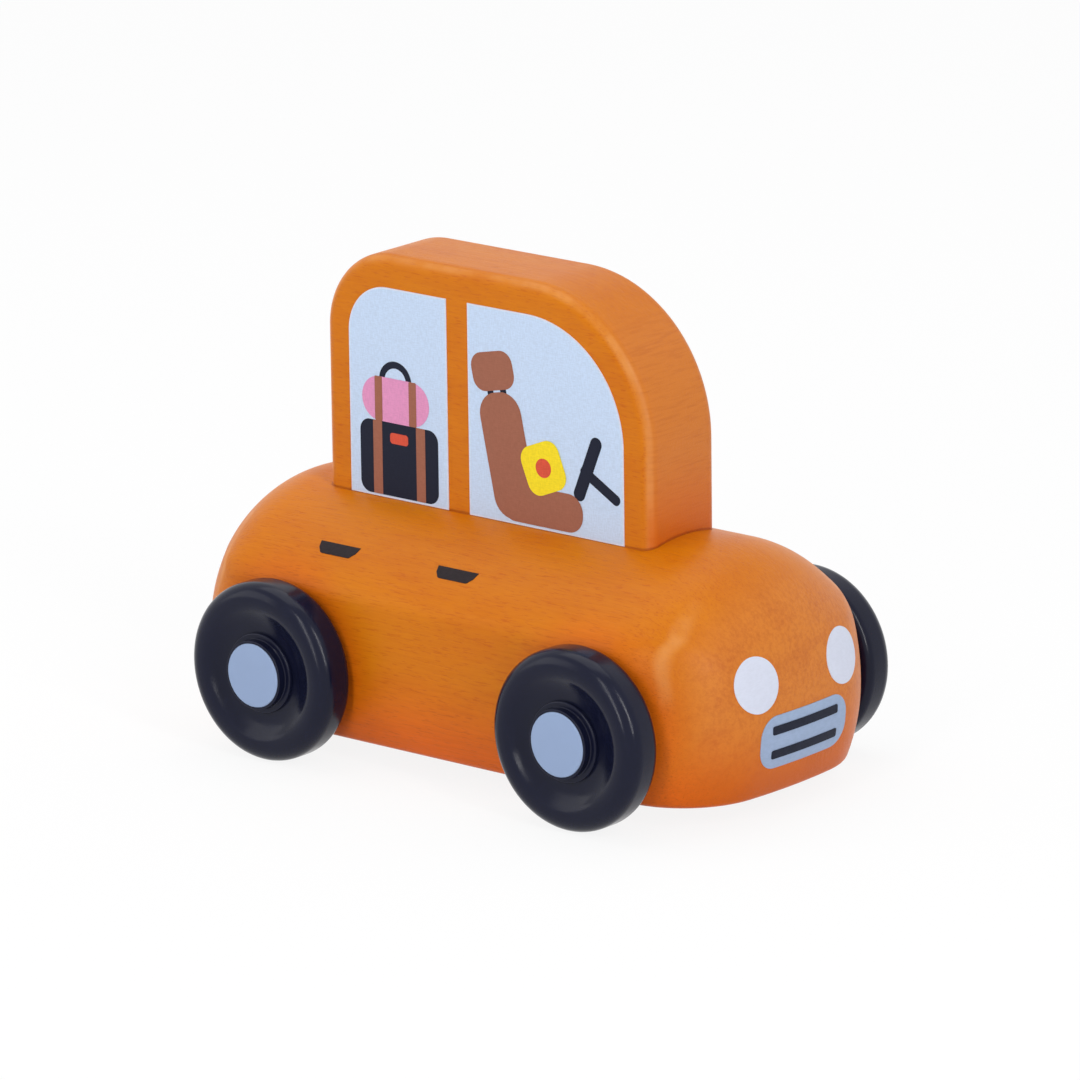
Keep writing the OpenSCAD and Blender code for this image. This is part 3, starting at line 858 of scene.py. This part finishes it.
def resampled(outline, step=0.4):
    """The same closed outline with extra points on its long sides."""
    points = []
    for place, point in enumerate(outline):
        after = outline[(place + 1) % len(outline)]
        count = max(1, math.ceil(math.dist(point, after) / step))
        points += [tuple(point[axis] + (after[axis] - point[axis]) * part / count for axis in (0, 1))
                   for part in range(count)]
    return points


def filled(outline, rings):
    """Points and faces of a convex outline filled with rings round its middle."""
    count = len(outline)
    middle = [sum(point[axis] for point in outline) / count for axis in (0, 1)]
    points = [tuple(middle)]
    for ring in range(1, rings + 1):
        share = ring / rings
        for point in outline:
            points.append(tuple(mid + share * (value - mid) for mid, value in zip(middle, point)))
    faces = [(0, 1 + place, 1 + (place + 1) % count) for place in range(count)]
    return points, faces + [tuple(1 + place for place in reversed(face)) for face in walls(rings, count)]


def body_film(name, points, faces, way, layers, material, node):
    """Film that is pressed along a direction onto the body, on top of the films below it."""
    values = {
        "Skin": bpy.data.objects["body_wood"],
        "Direction": way,
        "Lift": layers * FILM * MM,
        "Material": material,
    }
    tree = shared_tree("Print on a skin", print_tree)
    mesh = grown_mesh(make_mesh(name, points, faces), tree, values, FILM * MM)
    dress(make_piece(name, mesh, material, sharp=50), "car", node)


def nose_print(name, outline, material, layers, node):
    """Film on the nose; the outline is drawn as left and up."""
    points, faces = filled(resampled(outline), rings=12)
    ahead = [(NOSE_X + PRESS_WAY, y, z) for y, z in points]
    body_film(name, ahead, faces, (-1.0, 0.0, 0.0), layers, material, node)


def flank_print(name, outline, side, material, node):
    """Film on the shoulder; the outline is drawn as forward and up."""
    points, faces = filled(resampled(outline), rings=8)
    beside = [(x, side * (HALF_WIDTH + PRESS_WAY), z) for x, z in points]
    body_film(name, beside, faces, (0.0, -1.0 * side, 0.0), 1, material, node)


def handle_outline(x):
    """Door handle with a flat upper edge, short slanted ends and a lower edge with round corners."""
    corner, corner_radius, bend = (2.6, -0.7), 0.65, (3.6, -0.75)
    front = arc(corner, corner_radius, 270, 325, 4) + [bend, (HANDLE_HALF, 0.0)]
    rear = [(-along, up) for along, up in reversed(front)]
    return moved(rear + front, x, HANDLE_TOP)


def window_outline(end, inset):
    """Outline of one window as forward and up, drawn in by an inset."""
    outline = cabin_outline(WINDOW_FRAME + inset, deck_at_cabin() + WINDOW_GAP + inset)
    way = 1 if end == "front" else -1
    return clipped(outline, PILLAR_X + way * (PILLAR_HALF + inset), way)


def clipped(outline, stop, way):
    """Part of a closed convex outline on one side of an upright line."""
    kept = []
    for place, point in enumerate(outline):
        after = outline[(place + 1) % len(outline)]
        here, there = way * (point[0] - stop), way * (after[0] - stop)
        if here >= 0:
            kept.append(point)
        if here * there < 0:
            share = here / (here - there)
            kept.append((stop, point[1] + share * (after[1] - point[1])))
    return kept


class LayeredPrint:
    """Flat print on the cabin's side, made of layers of ink that lie on each other."""

    def __init__(self, side, layer):
        self.side, self.layer = side, layer
        self.points, self.faces, self.inks = [], [], []

    def keep(self, points, faces, ink, level):
        """Keeps faces of one ink; their points are drawn as forward and up."""
        height = CABIN_SIDE + FILM + level * self.layer
        self.keep_solid([(x, height, z) for x, z in points], faces, ink)

    def keep_solid(self, points, faces, ink):
        """Keeps faces whose points are drawn as forward, outward and up."""
        start = len(self.points)
        self.points += [(x, self.side * y, z) for x, y, z in points]
        for face in faces:
            turn = face if self.side < 0 else tuple(reversed(face))
            self.faces.append(tuple(start + place for place in turn))
            self.inks.append(ink)

    def lay(self, outline, ink, level, x=0.0, z=0.0):
        self.keep(*filled(moved(outline, x, z), rings=1), ink, level)

    def edge(self, outline, ink):
        """Thin edge of the film all round, from the wood up to the print."""
        points = [(x, height, z) for height in (CABIN_SIDE, CABIN_SIDE + FILM) for x, z in outline]
        self.keep_solid(points, walls(2, len(outline)), ink)

    def band(self, outer, inner, ink, level):
        """Closed band between two outlines with the same number of points."""
        self.keep(outer + inner, walls(2, len(outer)), ink, level)

    def hoop(self, centre, radius, width, start, end, ink, level):
        """Open hoop between two angles in degrees."""
        count = 40
        outer = arc(centre, radius + width / 2, start, end, count)
        inner = arc(centre, radius - width / 2, start, end, count)
        self.keep(outer + inner, walls(2, count + 1)[:-1], ink, level)


def luggage(art, x, z):
    """A strapped suitcase with a soft roll on top of it."""
    case, strap, lock = rounded(15.6, 11.6, 1.9), rounded(1.8, 11.6, 0.2), rounded(3.6, 1.7, 0.5)
    roll, cord = rounded(13.4, 7.0, 3.45), rounded(1.5, 7.0, 0.2)
    case_z, lock_z, roll_z, grip_z = z + 5.9, z + 9.3, z + 15.2, z + 18.2
    roll_x, grip_radius, grip_width = x - 0.6, 2.7, 1.1
    art.lay(case, "navy", 1, x, case_z)
    for strap_step in (-4.3, 4.3):
        art.lay(strap, "brown", 2, x + strap_step, case_z)
    art.lay(lock, "coral", 2, x, lock_z)
    art.hoop((roll_x, grip_z), grip_radius, grip_width, 0, 180, "navy", 1)
    art.lay(roll, "pink", 2, roll_x, roll_z)
    for cord_step in (-4.0, 2.8):
        art.lay(cord, "brown", 3, x + cord_step, roll_z)


def driving_seat(art, x, z):
    """An empty seat with its headrest and a cushion, and a steering wheel seen from the side."""
    post, headrest, back = rounded(1.2, 5.0, 0.4, 12), rounded(8.2, 6.0, 2.2, 12), rounded(8.2, 19.6, 3.6, 12)
    seat, cushion, button = rounded(16.0, 6.0, 2.8), rounded(7.8, 7.8, 2.2, 22), rounded(3.0, 3.0, 1.48)
    column, wheel = rounded(8.6, 1.7, 0.8, -30), rounded(2.2, 11.0, 1.08, -22)
    cushion_x, cushion_z = x + 3.6, z + 9.4
    for post_step in (-6.6, -4.0):
        art.lay(post, "navy", 1, x + post_step, z + 19.4)
    art.lay(headrest, "brown", 2, x - 6.2, z + 23.0)
    art.lay(back, "brown", 3, x - 3.4, z + 10.2)
    art.lay(seat, "brown", 4, x + 3.2, z + 3.2)
    art.lay(cushion, "yellow", 5, cushion_x, cushion_z)
    art.lay(button, "coral", 6, cushion_x, cushion_z)
    art.lay(column, "navy", 1, x + 14.6, z + 8.4)
    art.lay(wheel, "navy", 2, x + 12.2, z + 10.6)


class TOYCAR_OT_body(Operator):
    """Makes the body block of dyed wood"""
    bl_idname = "toycar.body"
    bl_label = "Body Block"

    def execute(self, context):
        wood = context.scene.toycar_wood
        points, faces = body_skin(wood.foot_ease / MM)
        piece = make_piece("body_wood", make_mesh("body_wood", points, faces), body_wood(wood))
        dress(piece, "car", "body_block")
        return {"FINISHED"}


class TOYCAR_OT_cabin(Operator):
    """Makes the cabin board that is let into the deck"""
    bl_idname = "toycar.cabin"
    bl_label = "Cabin Board"

    def execute(self, context):
        points, faces = cabin_skin()
        material = cabin_wood(context.scene.toycar_wood)
        piece = make_piece("cabin_wood", make_mesh("cabin_wood", points, faces), material, sharp=60)
        dress(piece, "car", "cabin_block")
        return {"FINISHED"}


class TOYCAR_OT_wheels(Operator):
    """Turns the four wheels and their hub caps"""
    bl_idname = "toycar.wheels"
    bl_label = "Wheels"

    def execute(self, context):
        look = context.scene.toycar_wheels
        black = moulded_plastic("black_wheel_plastic", look.plastic, roughness=0.19, mottle=0.12)
        blue = moulded_plastic("blue_cap_plastic", look.cap, roughness=0.5, mottle=0.04)
        fillet = look.fillet / MM
        for corner in CORNERS:
            wheel = turned(corner + "_tyre", wheel_profile(fillet), corner, look.segments, black)
            dress(wheel, corner + "_wheel_set", corner + "_wheel")
            cap = turned(corner + "_cap", cap_profile(fillet), corner, look.segments, blue)
            dress(cap, corner + "_wheel_set", corner + "_hub_cap")
        return {"FINISHED"}


class TOYCAR_OT_prints(Operator):
    """Lays the handles, headlights and grille on the body"""
    bl_idname = "toycar.prints"
    bl_label = "Body Prints"

    def execute(self, context):
        look = context.scene.toycar_prints
        white = printed_ink("white_print", look.white, cloth=0.02)
        blue = printed_ink("blue_print", look.blue, cloth=0.04)
        navy = printed_ink("navy_print", look.navy, cloth=0.15)
        dark = printed_ink("handle_print", look.handle, cloth=0.15)
        for name, side in SIDES.items():
            lamp = circle((side * LAMP_SIDE, LAMP_Z), LAMP_RADIUS, 60)
            nose_print(name + "_lamp_print", lamp, white, 1, name + "_headlight")
            for end, x in HANDLE_X.items():
                node = "%s_%s_handle" % (name, end)
                flank_print(node + "_print", handle_outline(x), side, dark, node)
        plate = moved(rounded(*PLATE), 0, PLATE_Z)
        nose_print("grille_plate_print", plate, blue, 1, "grille_plate")
        for name, step in (("upper", BAR_STEP), ("lower", -BAR_STEP)):
            bar = moved(rounded(*BAR), 0, PLATE_Z + step)
            nose_print(name + "_bar_print", bar, navy, 2, name + "_grille_bar")
        return {"FINISHED"}


class TOYCAR_OT_windows(Operator):
    """Prints the four windows on the cabin's sides"""
    bl_idname = "toycar.windows"
    bl_label = "Windows"

    def execute(self, context):
        look = context.scene.toycar_prints
        materials = [printed_ink(ink + "_window_ink", getattr(look, ink), cloth=0.06) for ink in INKS]
        foot = deck_at_cabin() + ART_GAP
        for name, side in SIDES.items():
            for end in ("front", "rear"):
                art = LayeredPrint(side, look.layer / MM)
                whole, inner = window_outline(end, 0.0), window_outline(end, WINDOW_RIM)
                art.lay(inner, "window", 0)
                art.band(whole, inner, "white", 0)
                art.edge(whole, "white")
                if end == "rear":
                    luggage(art, LUGGAGE_X, foot)
                else:
                    driving_seat(art, SEAT_X, foot)
                node = "%s_%s_window" % (name, end)
                mesh = make_mesh(node + "_print", art.points, art.faces)
                for face, ink in zip(mesh.polygons, art.inks):
                    face.material_index = INKS.index(ink)
                for material in materials:
                    mesh.materials.append(material)
                dress(make_object(node + "_print", mesh), "car", node)
        return {"FINISHED"}


class TOYCAR_OT_hidden(Operator):
    """Finishes the axles, push nuts and dowels inside the car"""
    bl_idname = "toycar.hidden"
    bl_label = "Inner Pieces"

    def execute(self, context):
        finishes = {"axle": drawn_steel(), "dowel": raw_beech()}
        finishes["nut"] = finishes["axle"]
        for name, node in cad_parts.items():
            material = finishes.get(name.split("_")[-1])
            if material:
                node.data.materials.clear()
                node.data.materials.append(material)
        return {"FINISHED"}


def softbox(name, place, size, power):
    """Rectangular area lamp that points at the car's middle; place and size are in metres."""
    lamp = bpy.data.lights.new(name, "AREA")
    lamp.shape = "RECTANGLE"
    lamp.size, lamp.size_y = size
    lamp.energy = power
    made = make_object(name, lamp)
    made.location = place
    made.rotation_euler = (Vector(LAMP_AIM) - Vector(place)).to_track_quat("-Z", "Y").to_euler()


def seen_share(tree):
    """One for rays from the camera, from gloss and through glass, and zero for all other rays."""
    path = add_node(tree, "ShaderNodeLightPath").outputs
    share = path["Is Camera Ray"]
    for ray in ("Is Glossy Ray", "Is Transmission Ray"):
        share = add_node(tree, "ShaderNodeMath", {0: share, 1: path[ray]}, operation="MAXIMUM").outputs[0]
    return share


class TOYCAR_OT_stage(Operator):
    """Sets up the floor, the studio light and the camera"""
    bl_idname = "toycar.stage"
    bl_label = "Stage"

    def execute(self, context):
        scene = context.scene
        look = scene.toycar_stage
        scene.view_settings.view_transform = "Standard"
        self.floor(look)
        self.world(scene, look)
        for name, (place, size) in SOFTBOXES.items():
            softbox(name + "_softbox", place, size, getattr(look, name))
        self.camera(scene, look)
        return {"FINISHED"}

    def floor(self, look):
        """Floor that looks nearly white and keeps a faint shadow."""
        shader = Shader("pale_floor")
        shader.set(Base_Color=tuple(look.floor), Roughness=0.9, Specular_IOR_Level=0.1)
        glow = shader.node("ShaderNodeEmission", {"Color": (1, 1, 1, 1), "Strength": 1.0})
        share = shader.multiply(seen_share(shader.tree), FLOOR_GLOW)
        mixed = shader.node("ShaderNodeMixShader", {0: share, 1: shader.surface.outputs[0], 2: glow})
        shader.tree.links.new(mixed, shader.tree.nodes["Material Output"].inputs["Surface"])
        corners = [(x * FLOOR_HALF, y * FLOOR_HALF, 0) for x, y in ((-1, -1), (1, -1), (1, 1), (-1, 1))]
        mesh = bpy.data.meshes.new("floor")
        mesh.from_pydata(corners, [], [(0, 1, 2, 3)])
        mesh.materials.append(shader.material)
        make_object("floor", mesh)

    def world(self, scene, look):
        """White to the camera, in gloss and through glass; as light, a room brighter behind the car."""
        world = bpy.data.worlds.new("white_studio")
        world.use_nodes = True
        tree = world.node_tree
        way = add_node(tree, "ShaderNodeTexCoord").outputs["Generated"]
        behind = add_node(tree, "ShaderNodeVectorMath", {0: way, 1: BACKDROP_WAY}, operation="DOT_PRODUCT")
        glow = add_node(tree, "ShaderNodeMapRange", {
            "Value": behind.outputs["Value"],
            "From Min": -0.2,
            "From Max": 0.6,
            "To Min": look.near_glow,
            "To Max": look.far_glow,
        })
        strength = {0: seen_share(tree), 1: glow.outputs["Result"]}
        background = tree.nodes["Background"]
        feed(tree, background.inputs["Color"], (1, 1, 1, 1))
        brightest = add_node(tree, "ShaderNodeMath", strength, operation="MAXIMUM").outputs[0]
        feed(tree, background.inputs["Strength"], brightest)
        scene.world = world

    def camera(self, scene, look):
        """Camera at the photo's angle, aimed at a spot above the middle between the axles."""
        a, e, r = look.azimuth, look.elevation, look.roll
        right = Vector((math.cos(a), math.sin(a), 0))
        back = Vector((math.sin(a) * math.cos(e), -math.cos(a) * math.cos(e), math.sin(e)))
        up = back.cross(right)
        right, up = math.cos(r) * right + math.sin(r) * up, math.cos(r) * up - math.sin(r) * right
        middle = Vector((sum(AXLES) / 2 * MM, 0, 0))
        place = middle + look.distance * back + look.aim_right * right + look.aim_up * up
        data = bpy.data.cameras.new("camera")
        data.sensor_width = 36
        data.lens = look.lens
        data.clip_start = 0.1
        camera = make_object("camera", data)
        turn = Matrix((right, up, back)).transposed().to_4x4()
        camera.matrix_world = Matrix.Translation(place) @ turn
        scene.camera = camera


class TOYCAR_PT_panel(Panel):
    """Lists the pieces of the toy car and their settings"""
    bl_idname = "TOYCAR_PT_panel"
    bl_label = "Toy Car"
    bl_space_type = "VIEW_3D"
    bl_region_type = "UI"
    bl_category = "Toy Car"

    def draw(self, context):
        layout = self.layout
        for operator in OPERATORS:
            layout.operator(operator.bl_idname)
        for group in SETTINGS:
            settings = getattr(context.scene, group)
            box = layout.box()
            for name in settings.__annotations__:
                box.prop(settings, name)


SETTINGS = {
    "toycar_wood": WoodSettings,
    "toycar_wheels": WheelSettings,
    "toycar_prints": PrintSettings,
    "toycar_stage": StageSettings,
}
OPERATORS = (
    TOYCAR_OT_body,
    TOYCAR_OT_cabin,
    TOYCAR_OT_wheels,
    TOYCAR_OT_prints,
    TOYCAR_OT_windows,
    TOYCAR_OT_hidden,
    TOYCAR_OT_stage,
)


def register():
    for group in SETTINGS.values():
        bpy.utils.register_class(group)
    for name, group in SETTINGS.items():
        setattr(bpy.types.Scene, name, PointerProperty(type=group))
    for operator in OPERATORS:
        bpy.utils.register_class(operator)
    bpy.utils.register_class(TOYCAR_PT_panel)


def unregister():
    bpy.utils.unregister_class(TOYCAR_PT_panel)
    for operator in reversed(OPERATORS):
        bpy.utils.unregister_class(operator)
    for name, group in SETTINGS.items():
        delattr(bpy.types.Scene, name)
        bpy.utils.unregister_class(group)


def main():
    register()
    for operator in OPERATORS:
        area, name = operator.bl_idname.split(".")
        getattr(getattr(bpy.ops, area), name)()


if __name__ == "__main__":
    main()
